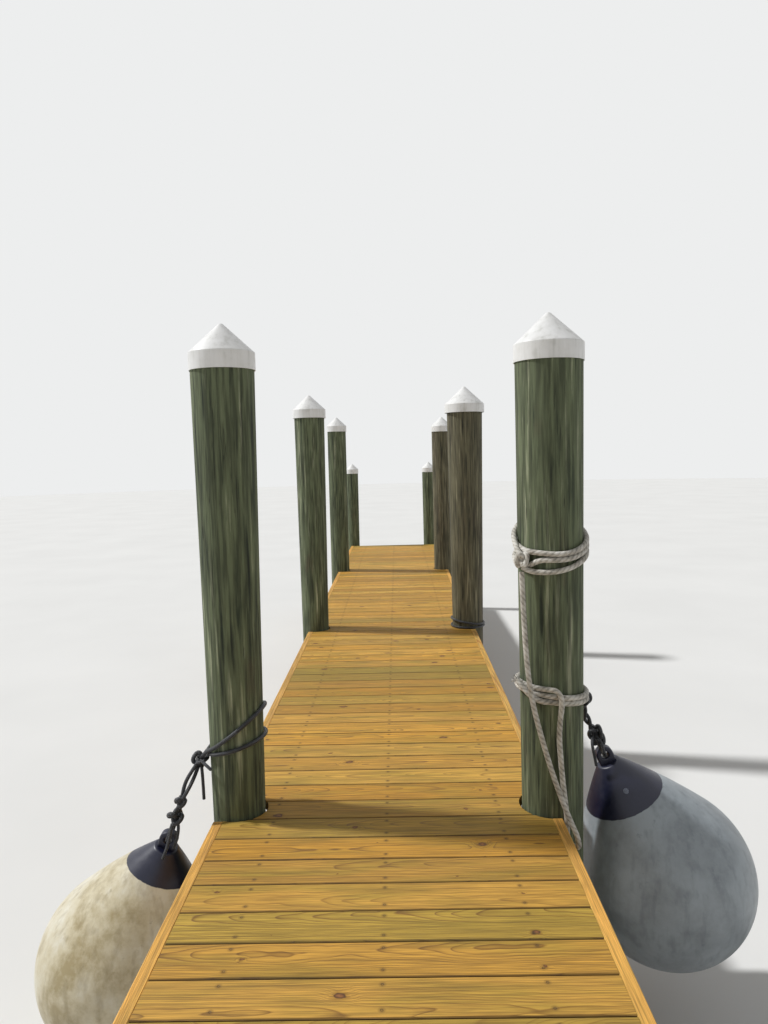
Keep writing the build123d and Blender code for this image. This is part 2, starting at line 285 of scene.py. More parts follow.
def eye_loop(name, eye, up, hole, node):
    """The fold of rope through a fender's eye."""
    route = [eye + hole * LOOP * side + up * (MIDDLE + rise) for side, rise in FOLD]
    return rope(name, route, BLACK_ROPE, node)


left_loop, left_loop_line = eye_loop(
    "left_eye_loop", left_eye, left_up, left_hole, "eye_loop_left"
)
right_loop, right_loop_line = eye_loop(
    "right_eye_loop", right_eye, right_up, right_hole, "eye_loop_right"
)

# %% [markdown]
# ## Knots
# An overhand knot is the simplest knot there is, and a trefoil curve has just its shape: three
# lobes that pass over and under each other. Each knot is that curve, scaled to the rope and
# set along the rope that it ties. The loose ends are short tails of the same piece.

# %% Knots
# The diameters of the rope in a knot and in a loose end, and the steps round a knot.
KNOTTED, TAIL, KNOT_STEPS = 0.017, 0.012, 96


def overhand(centre, way, reach, depth):
    """The line of an overhand knot about a point, its flat side across the way given."""
    side = way.orthogonal().normalized()
    other = way.cross(side)
    line = []
    for number in range(KNOT_STEPS + 1):
        t = tau * number / KNOT_STEPS
        across = (sin(t) + 2 * sin(2 * t)) * reach / 3
        along = (cos(t) - 2 * cos(2 * t)) * reach / 3
        line.append(centre + side * across + other * along - way * sin(3 * t) * depth)
    return line


def knot(name, place, node=None, tails=()):
    """A knot, given by its centre, its way, its reach and its depth, with its loose tails."""
    ropes = [(overhand(*place), KNOTTED)]
    ropes += [(centre_line([Vector(point) for point in tail]), TAIL) for tail in tails]
    piece = rope_piece(name, ropes)
    if node:
        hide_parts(node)
    return piece


# %% Where the knots sit and their tails hang
left_tie, right_tie = Vector((0.3573, 0.6091, 0.708)), Vector((-0.0754, -0.7569, 0.6492))
right_knot = Vector((0.773, -2.6885, 1.39))
EYE_KNOT_RISE, LOWER_KNOT_RISE = 0.103, 0.07
left_eye_place = left_eye + left_up * EYE_KNOT_RISE
left_middle_place = Vector((-0.7655, -2.8395, 1.079))
right_eye_place = right_eye + right_up * EYE_KNOT_RISE + Vector((0.008, 0, 0))
right_lower_place = right_eye + right_up * LOWER_KNOT_RISE + Vector((0.007, 0, 0))
LEFT_TAILS = (
    (
        (-0.788, -2.833, 1.012), (-0.799, -2.852, 0.99), (-0.809, -2.856, 0.95),
        (-0.82, -2.856, 0.912), (-0.83, -2.862, 0.886), (-0.837, -2.866, 0.87),
    ),
    (
        (-0.786, -2.83, 1.01), (-0.776, -2.848, 0.99), (-0.779, -2.856, 0.954),
        (-0.79, -2.856, 0.922), (-0.796, -2.856, 0.906),
    ),
)
RIGHT_TAILS = (
    (
        (0.827, -2.606, 1.22), (0.814, -2.625, 1.199), (0.818, -2.64, 1.16),
        (0.826, -2.64, 1.122), (0.829, -2.639, 1.102),
    ),
    (
        (0.828, -2.606, 1.22), (0.842, -2.624, 1.209), (0.856, -2.634, 1.182),
        (0.86, -2.637, 1.154),
    ),
)
UPPER_TAILS = (
    (
        (-0.7, -2.785, 1.205), (-0.693, -2.801, 1.19), (-0.69, -2.806, 1.15),
        (-0.689, -2.806, 1.1), (-0.6885, -2.806, 1.07),
    ),
    (
        (-0.704, -2.783, 1.212), (-0.69, -2.806, 1.216), (-0.665, -2.828, 1.206),
        (-0.649, -2.837, 1.196),
    ),
)

# %% The six knots
left_upper_knot = knot(
    "left_upper_knot", (left_knot, left_tie, 0.026, 0.017), "knots_left", UPPER_TAILS
)
left_eye_knot = knot(
    "left_eye_knot", (left_eye_place, left_up, 0.028, 0.014), "knots_left", LEFT_TAILS
)
left_middle_knot = knot(
    "left_middle_knot", (left_middle_place, left_up, 0.018, 0.011), "knots_left"
)
right_upper_knot = knot(
    "right_upper_knot", (right_knot, right_tie, 0.023, 0.014), "knots_right"
)
right_eye_knot = knot(
    "right_eye_knot", (right_eye_place, right_up, 0.027, 0.02), "knots_right", RIGHT_TAILS
)
right_lower_knot = knot(
    "right_lower_knot", (right_lower_place, right_up, 0.025, 0.016), "knots_right"
)

# %% [markdown]
# ## The grey rope on the right pile
# A grey mooring rope goes three times round the right pile near its top and is hitched
# there. Its slack hangs down the front of the pile, past the edge of the deck, and comes up
# again to more turns lower down. There it goes twice round, each turn lower than the last, and
# its frayed end comes up across them on the left. Rings would be simpler than one long rope,
# but it is the way a rope climbs from one turn to the next that makes it look tied.

# %% Upper turns and their hitch
UPPER_REACH, STEADY, DIP = 0.1335, (0.153, 0.364), (0, 0.4245)
hitch_foot = Vector((0.512, -2.8305, 1.912))
upper_route = [
    hitch_foot + Vector((0.004, 0.002, 0.016)),
    round_pile(RIGHT_PILE, 226, 0.146, 1.97, STEADY),
    *winding(RIGHT_PILE, 248, 560, UPPER_REACH, 1.9653, STEADY),
    round_pile(RIGHT_PILE, 564, UPPER_REACH, 1.969, STEADY),
    round_pile(RIGHT_PILE, 584, 0.134, 1.983, STEADY),
    round_pile(RIGHT_PILE, 602, 0.134, 2.008, DIP),
    *winding(RIGHT_PILE, 620, 920, UPPER_REACH, 2.0143, DIP),
    round_pile(RIGHT_PILE, 930, 0.1345, 2.019, DIP),
    round_pile(RIGHT_PILE, 950, 0.1345, 2.029, DIP),
    *winding(RIGHT_PILE, 970, 1260, UPPER_REACH, 2.035, DIP),
    round_pile(RIGHT_PILE, 1266, 0.138, 2.03, DIP),
    round_pile(RIGHT_PILE, 1286, 0.15, 2.02, DIP),
    hitch_foot + Vector((-0.004, 0.002, 0.06)),
]
upper_turns, upper_line = rope(
    "right_upper_turns", upper_route, GREY_ROPE, "rope_turns_upper_right"
)
hitch_place = hitch_foot + Vector((0.002, 0, 0.045))
hitch_line = overhand(hitch_place, Vector((0, 0.2, 1)), 0.019, 0.02)
hitch = rope_piece("right_hitch", [(hitch_line, GREY_ROPE)])
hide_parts("hitch_right")

# %% The slack bight
bight_route = [
    Vector(point)
    for point in (
        (0.512, -2.8305, 1.912), (0.516, -2.8415, 1.715), (0.531, -2.8625, 1.47),
        (0.585, -2.8805, 1.25), (0.637, -2.8925, 1.085), (0.671, -2.9005, 1.0),
        (0.691, -2.9105, 0.952), (0.697, -2.9105, 0.908), (0.665, -2.8665, 0.908),
        (0.662, -2.8665, 0.952), (0.661, -2.8685, 1.022), (0.647, -2.8725, 1.132),
        (0.638, -2.8745, 1.24), (0.633, -2.874, 1.332), (0.639, -2.887, 1.405),
    )
]
bight, bight_line = rope("right_bight", bight_route, GREY_ROPE, "mooring_bight")

# %% Lower turns
# Each turn lies half a millimetre more than a rope's thickness below the last.
LOWER_REACH, LEAN, TOP, DROP = 0.1303, (-0.1405, 0), 1.474, 0.0205
lower_route = [
    bight_route[-1],
    Vector((0.6415, -2.8925, 1.435)),
    Vector((0.639, -2.8925, 1.464)),
    Vector((0.626, -2.89, 1.486)),
    Vector((0.605, -2.878, 1.488)),
]
lower_route += [
    round_pile(RIGHT_PILE, 236 - turn, LOWER_REACH, TOP - DROP * turn / 360, LEAN)
    for turn in range(0, 701, 20)
]
lower_route += [
    round_pile(RIGHT_PILE, 244, 0.14, 1.432, LEAN),
    round_pile(RIGHT_PILE, 230, 0.1505, 1.442, LEAN),
    round_pile(RIGHT_PILE, 216, 0.153, 1.468, LEAN),
    round_pile(RIGHT_PILE, 204, 0.152, 1.482, LEAN),
]
lower_turns, lower_line = rope(
    "right_lower_turns", lower_route, GREY_ROPE, "rope_turns_lower_right"
)

# %% The frayed end
# Each fibre starts 10 mm behind the tip, runs on for some 26 mm, spreads outwards and curls.
# One after another they stand 2.4 radians further round the rope, so that they never line up.
FIBRES, FIBRE, FIBRE_TURN = 30, 0.0024, 2.4
tip, before = lower_line[-1], lower_line[-5]
way = (tip - before).normalized()
side = way.orthogonal().normalized()
other = way.cross(side)
fibres = []
for number in range(FIBRES):
    turn, spread = FIBRE_TURN * number, (number + 0.5) / FIBRES
    out = side * cos(turn) + other * sin(turn)
    curl = side * sin(3 * turn) + other * cos(5 * turn)
    start = tip - way * 0.01 + out * 0.007 * spread**0.5
    middle = start + way * 0.018 + out * 0.003
    end = middle + way * (0.008 + 0.004 * sin(7 * turn)) + out * 0.011 * spread + curl * 0.004
    fibres.append((centre_line([start, middle, end]), FIBRE))
frayed = rope_piece("right_frayed_end", fibres, 0)

# %% [markdown]
# ## Black turns at the foot of a pile
# Another black rope lies twice round the foot of the third right pile. Its lower turn lies on
# the deck boards, and the upper one slants down to the outside, where a knot holds them. The
# functions for turns and knots are there already, so only the points are new.

# %% Turns at the foot of the third right pile
FOOT_PILE, SLANT = Vector((0.6, 0.3095)), (-0.16, 0)
foot_knot_place = round_pile(FOOT_PILE, 62, 0.1445, 1.03)
foot_route = [
    foot_knot_place,
    round_pile(FOOT_PILE, 84, 0.132, 1.016),
    *winding(FOOT_PILE, 104, 400, 0.1288, 1.0105),
    round_pile(FOOT_PILE, 404, 0.129, 1.017),
    round_pile(FOOT_PILE, 424, 0.129, 1.036, SLANT),
    *winding(FOOT_PILE, 444, 760, 0.1292, 1.046, SLANT),
    round_pile(FOOT_PILE, 766, 0.136, 1.044, SLANT),
    foot_knot_place,
]
foot_turns, foot_line = rope("right_foot_turns", foot_route, BLACK_ROPE)
foot_tie = Vector((0.47, 0.88, 0))
foot_knot = knot("right_foot_knot", (foot_knot_place, foot_tie, 0.022, 0.014))

# %% [markdown]
# ## What each rope is
# A rope in a picture shows neither its length nor where it is fixed, and whoever reuses the
# jetty needs both. The length of each run of rope is printed as it is made, and its centre line is
# kept with its piece.

# %% [markdown]
# ## Screws, bolts and the valve plug
# Every board is held by two screws in each of the three stringers, so there are close on five
# hundred. Instances would draw faster, but a shared part has to be one plain mesh, so each
# head is a small cone frustum of eight sides, with its drive sunk into the top. The beams are
# through-bolted to the piles, and the bolts show a washer and a hexagon outside each beam.

# %% Deck screws
# A head is 8.8 mm across and stands 0.4 mm proud, with a drive 0.7 mm deep.
BOARDS, FIRST_BOARD, BOARD_PITCH, DECK = 82, -5.9285, 0.14413, 1.0
SCREW_SPACING, SCREW_ASIDE, CLEARANCE = 0.42, 0.045, 0.012
pile_feet = []
for low, high in (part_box(name) for name in nodes if name.startswith("pile_")):
    pile_feet.append(((low[0] + high[0]) / 2, (low[1] + high[1]) / 2, (high[0] - low[0]) / 2))


def clear_of_piles(x, y, margin):
    """True where a point of the deck is outside every pile by the margin."""
    return all(hypot(x - foot_x, y - foot_y) >= r + margin for foot_x, foot_y, r in pile_feet)


heads = bmesh.new()
for board in range(BOARDS):
    for x in (-SCREW_SPACING, 0, SCREW_SPACING):
        for aside in (-SCREW_ASIDE, SCREW_ASIDE):
            y = FIRST_BOARD + board * BOARD_PITCH + aside
            if not clear_of_piles(x, y, CLEARANCE):
                continue
            made = bmesh.ops.create_cone(
                heads, cap_ends=True, segments=8, radius1=0.0044, radius2=0.0038,
                depth=0.001, matrix=Matrix.Translation((x, y, DECK - 0.0001)),
            )
            top = max({f for v in made["verts"] for f in v.link_faces}, key=lambda f: f.normal.z)
            bmesh.ops.inset_region(heads, faces=[top], thickness=0.0018, use_even_offset=True)
            bmesh.ops.translate(heads, verts=top.verts, vec=(0, 0, -0.0007))
screws = mesh_piece("deck_screws", heads)

# %% Bolts of the cross beams
BOLT_HEIGHTS = (0.603, 0.718)
# Washer and hexagon: sides, radius, start and depth outwards from the beam.
BOLT = ((20, 0.022, 0, 0.003), (6, 0.0136, 0.003, 0.009))


def bolt(shape, x, y, z, out):
    """A washer and a hexagon on a face, whose outward way along the jetty is out."""
    turn = Matrix.Rotation(-out * pi / 2, 4, "X")
    for sides, radius, start, depth in BOLT:
        place = Matrix.Translation((x, y + out * (start + depth / 2), z)) @ turn
        made = bmesh.ops.create_cone(
            shape, cap_ends=True, segments=sides, radius1=radius, radius2=radius,
            depth=depth, matrix=place,
        )
        edges = {e for v in made["verts"] for e in v.link_edges}
        rims = [e for e in edges if abs(e.verts[0].co.y - e.verts[1].co.y) < 1e-6]
        bmesh.ops.bevel(
            shape, geom=rims, offset=0.0008, offset_type="OFFSET", segments=1,
            profile=0.5, affect="EDGES", material=-1,
        )


# A pair of beams has two outer faces. The shore beam has bolts on one side only.
fasteners = bmesh.new()
faces = []
for name in nodes:
    low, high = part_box(name)
    if name.startswith("cross_beams"):
        faces += [(low[1], -1), (high[1], 1)]
    if name == "shore_beam":
        faces += [(low[1], -1)]
for y, out in faces:
    for foot_x, foot_y, _ in pile_feet:
        if abs(y - foot_y) < 0.3:
            for z in BOLT_HEIGHTS:
                bolt(fasteners, foot_x, y, z, out)
bolts = mesh_piece("beam_bolts", fasteners)

# %% Valve plug of the right fender
# It faces away from the fender's line, but leans towards the eye as the cone there does.
RIGHT_BALL, PLUG = Vector((1.1271, -2.5485, 0.6018)), Vector((0.9305, -2.6906, 1.0206))
PLUG_LEAN = 0.73
# Flange and pip: radius, radius at the outer end, start and depth outwards.
PLUG_PARTS = ((0.011, 0.01, -0.002, 0.004), (0.0062, 0.005, 0.002, 0.003))
spine = (right_eye - RIGHT_BALL).normalized()
away = PLUG - RIGHT_BALL
away = (away - spine * away.dot(spine)).normalized()
facing = (away + spine * PLUG_LEAN).normalized()
plug_shape = bmesh.new()
turned = facing.to_track_quat("Z", "Y").to_matrix().to_4x4()
for radius, end, start, depth in PLUG_PARTS:
    place = Matrix.Translation(PLUG + facing * (start + depth / 2)) @ turned
    bmesh.ops.create_cone(
        plug_shape, cap_ends=True, segments=24, radius1=radius, radius2=end, depth=depth,
        matrix=place,
    )
valve_plug = mesh_piece("valve_plug", plug_shape)

# %% [markdown]
# ## Light and floor
# A soft sun from the left and an even sky light the jetty at a plain level, at which a colour
# renders about as it is written. The pale floor keeps the shadow of the jetty, and the world
# shows the camera the same pale tone, so that floor and background meet softly.
#
# A material is a tree of nodes, which could be wired by hand. Here one function adds a node and
# links its sockets, given by name or by place. Map Range takes its value at 0, the range that it
# reads at 1 and 2, and the one that it gives at 3 and 4, which is 0 to 1 where none is written.
# Mix takes its share at 0, and its two colours at 6 and 7 or its two numbers at 2 and 3.

# %% Colours and nodes
def linear(colour, alpha=1):
    """An sRGB hex colour as the linear values that a socket takes."""
    parts = [int(colour[n : n + 2], 16) / 255 for n in (1, 3, 5)]
    return (*[v / 12.92 if v < 0.04045 else ((v + 0.055) / 1.055) ** 2.4 for v in parts], alpha)


def add(tree, kind, sockets=None, out=0, stops=None, **settings):
    """Adds a node with its settings, values, links and ramp, and gives one of its outputs."""
    node = tree.nodes.new("ShaderNode" + kind)
    for name, value in settings.items():
        setattr(node, name, value)
    for name, value in (sockets or {}).items():
        if isinstance(value, bpy.types.NodeSocket):
            tree.links.new(value, node.inputs[name])
        else:
            node.inputs[name].default_value = linear(value) if isinstance(value, str) else value
    if stops:
        ramp = node.color_ramp.elements
        while len(ramp) < len(stops):
            ramp.new(0.5)
        for element, (place, colour) in zip(ramp, stops):
            element.position, element.color = place, linear(colour)
    return node.outputs[out] if node.outputs else node


def new_material(name):
    """An empty material, its node tree, and the object coordinates in it."""
    material = bpy.data.materials.new(name)
    material.use_nodes = True
    material.node_tree.nodes.clear()
    return material, material.node_tree, add(material.node_tree, "TexCoord", out="Object")


def finish(material, sockets):
    """Gives a material its surface and its output, and prints how many nodes it has."""
    tree = material.node_tree
    surface = add(tree, "BsdfPrincipled", sockets)
    add(tree, "OutputMaterial", {"Surface": surface})
    print(material.name, len(tree.nodes), "nodes")
    return material


# %% World
# Only the camera and shiny surfaces see the pale tone. All else is lit by a plain white sky.
SKY = 0.32
world = bpy.data.worlds.new("studio")
bpy.context.scene.world = world
bpy.context.scene.view_settings.view_transform = "Standard"
world.use_nodes = True
tree = world.node_tree
tree.nodes.clear()
sky = add(tree, "Background", {"Color": "#FFFFFF", "Strength": SKY})
seen = add(tree, "Background", {"Color": "#EDEEEE", "Strength": 1})
straight = add(tree, "LightPath", out="Is Camera Ray")
mirrored = add(tree, "LightPath", out="Is Glossy Ray")
either = add(tree, "Math", {0: straight, 1: mirrored}, operation="MAXIMUM")
both = add(tree, "MixShader", {0: either, 1: sky, 2: seen})
add(tree, "OutputWorld", {"Surface": both})
print("sky", SKY)

# %% Sun
sun = bpy.data.objects.new("sun", bpy.data.lights.new("sun", "SUN"))
sun.data.energy = 2.85
sun.data.angle = radians(4)
sun.matrix_world = Vector((-0.655, 0.134, 0.743)).to_track_quat("Z", "Y").to_matrix().to_4x4()
bpy.context.scene.collection.objects.link(sun)
print("sun", round(sun.data.energy, 2), "W/m2")

# %% Floor
# Matt off-white paint, with a mottle 1.7 m wide that is only just seen.
shape = bmesh.new()
bmesh.ops.create_circle(shape, cap_ends=True, segments=96, radius=60)
floor = bpy.data.objects.new("floor", bpy.data.meshes.new("floor"))
shape.to_mesh(floor.data)
shape.free()
bpy.context.scene.collection.objects.link(floor)
painted, tree, where = new_material("painted_floor")
mottle = add(tree, "TexNoise", {"Vector": where, "Scale": 0.6, "Detail": 3})
tone = add(tree, "ValToRGB", {"Fac": mottle}, stops=[(0.3, "#E4E4E2"), (0.7, "#E9E9E7")])
floor.data.materials.append(finish(painted, {"Base Color": tone, "Roughness": 0.9}))
print("floor", len(floor.data.polygons), "face")

# %% [markdown]
# ## Treated pine
# The boards are yellow pine, sawn flat from the log and pressure-treated, which leaves golden
# wood with a green cast. A picture of wood could be laid on each board, but every board would
# then look alike. Here each board gets the rings of its own log: a line at the log's heart runs
# near the board, wobbling and slightly askew, and the rings are the distance from it. Where
# the surface cuts the rings flat, long arches appear by themselves, as on the real boards.

# %% Where a point lies in its board
def board_space(tree, where, start, pitch, axes):
    """The board that a point is in, and the point along, across and through it."""
    moved = add(tree, "VectorMath", {0: where, 1: start}, operation="SUBTRACT")
    counted = add(tree, "VectorMath", {0: moved, 1: pitch}, operation="DIVIDE")
    cell = add(tree, "VectorMath", {0: counted}, operation="FLOOR")
    part = add(tree, "VectorMath", {0: counted, 1: cell}, operation="SUBTRACT")
    centred = add(tree, "VectorMath", {0: part, 1: (0.5, 0.5, 0.5)}, operation="SUBTRACT")
    local = add(tree, "VectorMath", {0: centred, 1: pitch}, operation="MULTIPLY")
    parts = dict(zip("XYZ", add(tree, "SeparateXYZ", {0: local}).node.outputs))
    return cell, *[parts[axis] for axis in axes]


# %% How far a point is from the heart of its log
# Noise of scale 1 has waves some 1 m long, so times 2.2 it wanders every 450 mm of a board.
def log_radius(tree, board, along, chance, other, far):
    """The distance from the heart: a line under the board that wobbles and runs askew."""
    slow = add(tree, "VectorMath", {0: board, 1: (2.2, 5, 5), 2: far}, operation="MULTIPLY_ADD")
    wander = add(tree, "TexNoise", {"Vector": slow, "Scale": 1.0, "Detail": 3}, out="Color")
    # It lies 30 to 100 mm down, runs askew by up to 4 in 100, and wobbles by up to 15 mm.
    heart, askew, sway = (
        add(tree, "VectorMath", {0: draw, 1: spread, 2: shift}, operation="MULTIPLY_ADD")
        for draw, spread, shift in (
            (chance, (0, 0.11, 0.07), (0, -0.055, -0.1)),
            (other, (0, 0.05, 0.08), (0, -0.025, -0.04)),
            (wander, (0, 0.03, 0.03), (0, -0.015, -0.015)),
        )
    )
    drift = add(tree, "VectorMath", {0: askew, "Scale": along}, operation="SCALE")
    flat = add(tree, "VectorMath", {0: board, 1: (0, 1, 1)}, operation="MULTIPLY")
    offset = add(tree, "VectorMath", {0: flat, 1: heart}, operation="SUBTRACT")
    offset = add(tree, "VectorMath", {0: offset, 1: drift}, operation="SUBTRACT")
    offset = add(tree, "VectorMath", {0: offset, 1: sway}, operation="ADD")
    return add(tree, "VectorMath", {0: offset}, out="Value", operation="LENGTH")


# %% Knots in the wood
# Each board has a place for a knot in every 0.42 m, and two in five of them stay empty.
KNOT_SPACING, EMPTY = 0.42, 0.4


def wood_knots(tree, where, cell, along, across, first):
    """How far a point is from the nearest knot, in radii of it, and that radius."""
    stretch = add(tree, "Math", {0: along, 1: 1 / KNOT_SPACING, 2: first}, operation="MULTIPLY_ADD")
    stride = add(tree, "Math", {0: stretch}, operation="FLOOR")
    within = add(tree, "Math", {0: stretch, 1: stride}, operation="SUBTRACT")
    strides = add(tree, "CombineXYZ", {0: stride, 1: 3.7, 2: 1.9})
    seed = add(tree, "VectorMath", {0: cell, 1: (3.1, 3.1, 3.1), 2: strides},
               operation="MULTIPLY_ADD")
    chance = add(tree, "TexWhiteNoise", {"Vector": seed}, out="Color")
    draw = add(tree, "SeparateXYZ", {0: chance}).node.outputs
    place = add(tree, "Math", {0: draw[0], 1: 0.6, 2: 0.2}, operation="MULTIPLY_ADD")
    beside = add(tree, "Math", {0: within, 1: place}, operation="SUBTRACT")
    # Less than one to one along the board, so that a knot is an oval.
    beside = add(tree, "Math", {0: beside, 1: KNOT_SPACING * 0.7}, operation="MULTIPLY")
    middle = add(tree, "Math", {0: draw[1], 1: 0.1, 2: -0.05}, operation="MULTIPLY_ADD")
    above = add(tree, "Math", {0: across, 1: middle}, operation="SUBTRACT")
    spot = add(tree, "CombineXYZ", {0: beside, 1: above})
    # Its outline is crumpled by up to 12 mm, in folds of 26 mm.
    folds = add(tree, "TexNoise", {"Vector": where, "Scale": 38, "Detail": 2}, out="Color")
    crumpled = add(tree, "VectorMath", {0: folds, 1: (0.024, 0.016, 0), 2: spot},
                   operation="MULTIPLY_ADD")
    crumpled = add(tree, "VectorMath", {0: crumpled, 1: (0.012, 0.008, 0)}, operation="SUBTRACT")
    apart = add(tree, "VectorMath", {0: crumpled}, out="Value", operation="LENGTH")
    # The radius is up to 12 mm, and next to nothing where the place is empty.
    size = add(tree, "Math", {0: draw[2], 1: EMPTY}, operation="SUBTRACT")
    size = add(tree, "Math", {0: size, 1: 0.02}, operation="MULTIPLY")
    size = add(tree, "Math", {0: size, 1: 0.0001}, operation="MAXIMUM")
    return add(tree, "Math", {0: apart, 1: size}, operation="DIVIDE"), size


# %% Rings
def growth_rings(tree, radius, draws):
    """How dark the late wood is at a distance from the heart, in rings of 2.7 to 5.7 mm."""
    ring = 0.0042
    width = add(tree, "Math", {0: draws[0], 1: ring * 0.7, 2: ring * 0.65}, operation="MULTIPLY_ADD")
    rings = add(tree, "Math", {0: radius, 1: width}, operation="DIVIDE")
    # In some years the rings crowd together, and in others they lie further apart.
    uneven = add(tree, "TexNoise", {"W": rings, "Scale": 0.35, "Detail": 1}, noise_dimensions="1D")
    rings = add(tree, "Math", {0: uneven, 1: 1.8, 2: rings}, operation="MULTIPLY_ADD")
    phase = add(tree, "Math", {0: rings}, operation="FRACT")
    # Pale early wood that darkens slowly, then a narrow dark line of late wood.
    band = add(
        tree, "ValToRGB", {"Fac": phase},
        stops=[(0.0, "#080808"), (0.5, "#303030"), (0.8, "#A0A0A0"), (0.94, "#FFFFFF"),
               (1.0, "#181818")],
    )
    strength = add(tree, "Math", {0: draws[1], 1: 0.45, 2: 0.5}, operation="MULTIPLY_ADD")
    return add(tree, "Math", {0: band, 1: strength}, operation="MULTIPLY")


# %% Wear of the deck, and painted shade at the board edges
def deck_wear_and_edge_shade(tree, wood, along, across, stained):
    """Dark dirt and painted shade on the edges of a deck board, and a stain round each screw."""
    off = add(tree, "Math", {0: across}, operation="ABSOLUTE")
    # The last 4 mm at each edge darken towards #3F2E14: dirt, and painted shade where the eased edge
    # drops into the gap.
    arris_dirt_and_shade = add(tree, "MapRange", {0: off, 1: 0.0655, 2: 0.0695, 4: 0.75})
    wood = add(tree, "Mix", {0: arris_dirt_and_shade, 6: wood, 7: "#3F2E14"}, 2, data_type="RGBA")
    off = add(tree, "Math", {0: off, 1: SCREW_ASIDE}, operation="SUBTRACT")
    fold = add(tree, "Math", {0: along, 1: SCREW_SPACING / 2}, operation="ADD")
    fold = add(tree, "Math", {0: fold, 1: SCREW_SPACING}, operation="FLOORED_MODULO")
    fold = add(tree, "Math", {0: fold, 1: SCREW_SPACING / 2}, operation="SUBTRACT")
    beside = add(tree, "CombineXYZ", {0: fold, 1: off})
    to_screw = add(tree, "VectorMath", {0: beside}, out="Value", operation="LENGTH")
    stain = add(tree, "MapRange", {0: to_screw, 1: 0.012, 2: 0.004, 4: 0.5})
    return add(tree, "Mix", {0: stain, 6: wood, 7: stained}, 2, data_type="RGBA")


# %% Sawn pine
def sawn_pine(name, start, pitch, axes, tints, decked=False):
    """Sawn boards: a grid of start and pitch, and the axes along, across and through."""
    pale, golden, late, green, brown = tints
    material, tree, where = new_material(name)
    cell, along, across, through = board_space(tree, where, start, pitch, axes)
    board = add(tree, "CombineXYZ", {0: along, 1: across, 2: through})
    shifted = add(tree, "VectorMath", {0: cell, 1: (7.3, 2.9, 5.1)}, operation="ADD")
    chance, other = (
        add(tree, "TexWhiteNoise", {"Vector": seed}, out="Color") for seed in (cell, shifted)
    )
    draws = add(tree, "SeparateXYZ", {0: other}).node.outputs
    far = add(tree, "VectorMath", {0: chance, "Scale": 37.0}, operation="SCALE")
    radius = log_radius(tree, board, along, chance, other, far)
    ratio, size = wood_knots(tree, where, cell, along, across, draws[0])

    # The rings bend round a knot, out to some four times its radius.
    core, near = (
        add(tree, "MapRange", {0: ratio, 1: outer, 2: inner},
            interpolation_type="SMOOTHSTEP")
        for outer, inner in ((1.15, 0.8), (4.2, 0.6))
    )
    bend = add(tree, "Math", {0: near, 1: size}, operation="MULTIPLY")
    radius = add(tree, "Math", {0: bend, 1: 1.1, 2: radius}, operation="MULTIPLY_ADD")
    figure = growth_rings(tree, radius, draws)

    # Fibres are too fine to show, so they are drawn 3 mm wide, with streaks of 10 mm and
    # blotches of 70 mm, all drawn out along the board.
    fibre, streak, blotch = (
        add(tree, "TexNoise", {"Vector": spread, "Scale": 1.0, "Detail": 3})
        for spread in (
            add(tree, "VectorMath", {0: board, 1: scale, 2: far}, operation="MULTIPLY_ADD")
            for scale in ((9, 330, 330), (3, 95, 95), (2.5, 14, 14))
        )
    )

    # Each board has a tone of its own, with a green cast in patches and dark rings.
    body = add(tree, "ValToRGB", {"Fac": draws[2]},
               stops=[(0.0, golden), (0.3, pale), (0.55, golden), (0.75, pale), (1.0, green)])
    value = add(tree, "Math", {0: add(tree, "SeparateXYZ", {0: chance}), 1: 0.44, 2: 0.8},
                operation="MULTIPLY_ADD")
    body = add(tree, "VectorMath", {0: body, "Scale": value}, operation="SCALE")
    cast = add(tree, "MapRange", {0: blotch, 1: 0.45, 2: 0.72, 4: 0.75})
    body = add(tree, "Mix", {0: cast, 6: body, 7: green}, 2, data_type="RGBA")
    wood = add(tree, "Mix", {0: figure, 6: body, 7: late}, 2, data_type="RGBA")
    for lines, share in ((fibre, 0.75), (streak, 0.65)):
        grain = add(tree, "ValToRGB", {"Fac": lines}, stops=[(0.34, "#BEBEBE"), (0.6, "#FFFFFF")])
        wood = add(tree, "Mix", {0: share, 6: wood, 7: grain}, 2, data_type="RGBA",
                   blend_type="MULTIPLY")

    # A knot has a dark edge and a paler eye.
    edge = add(tree, "MapRange", {0: ratio, 1: 1.9, 2: 1.0, 4: 0.55})
    wood = add(tree, "Mix", {0: edge, 6: wood, 7: late}, 2, data_type="RGBA")
    inner = add(tree, "MapRange", {0: ratio, 1: 0.0, 2: 0.9})
    eye = add(tree, "Mix", {0: inner, 6: "#9A6636", 7: brown}, 2, data_type="RGBA")
    wood = add(tree, "Mix", {0: core, 6: wood, 7: eye}, 2, data_type="RGBA")
    if decked:
        wood = deck_wear_and_edge_shade(tree, wood, along, across, brown)
    relief = add(tree, "Math", {0: fibre, 1: 0.5, 2: figure}, operation="MULTIPLY_ADD")
    bump = add(tree, "Bump", {"Height": relief, "Distance": 0.0006})
    sheen = add(tree, "MapRange", {0: figure, 3: 0.72, 4: 0.55})
    return finish(material, {"Base Color": wood, "Roughness": sheen, "Normal": bump, "IOR": 1.5})


# %% The kinds of board
# Fresh treated pine: golden between the rings, ochre in them, and a green cast in patches.
# A grid gives every board a cell of its own, and its log's heart is set out from the middle.
DECK_TINTS = ("#E2AE4E", "#D29A36", "#805616", "#AC9238", "#482C12")
EDGE_TINTS = ("#FAC870", "#F4B450", "#B87228", "#E6B858", "#5E3218")
FRAME_TINTS = ("#C8A250", "#B48E3A", "#745420", "#97883A", "#54371C")
decking = sawn_pine(
    "sawn_decking_pine", (-5, FIRST_BOARD - BOARD_PITCH / 2, 0.481), (10, BOARD_PITCH, 1),
    "XYZ", DECK_TINTS, decked=True,
)
edging = sawn_pine(
    "sawn_edging_pine", (-1.258, -5.7865, 0.778), (1.258, 3.048, 0.222), "YZX", EDGE_TINTS,
)
end_edging = sawn_pine(
    "sawn_end_pine", (-5, -6.5, 0.778), (10, 1, 0.222), "XZY", EDGE_TINTS,
)
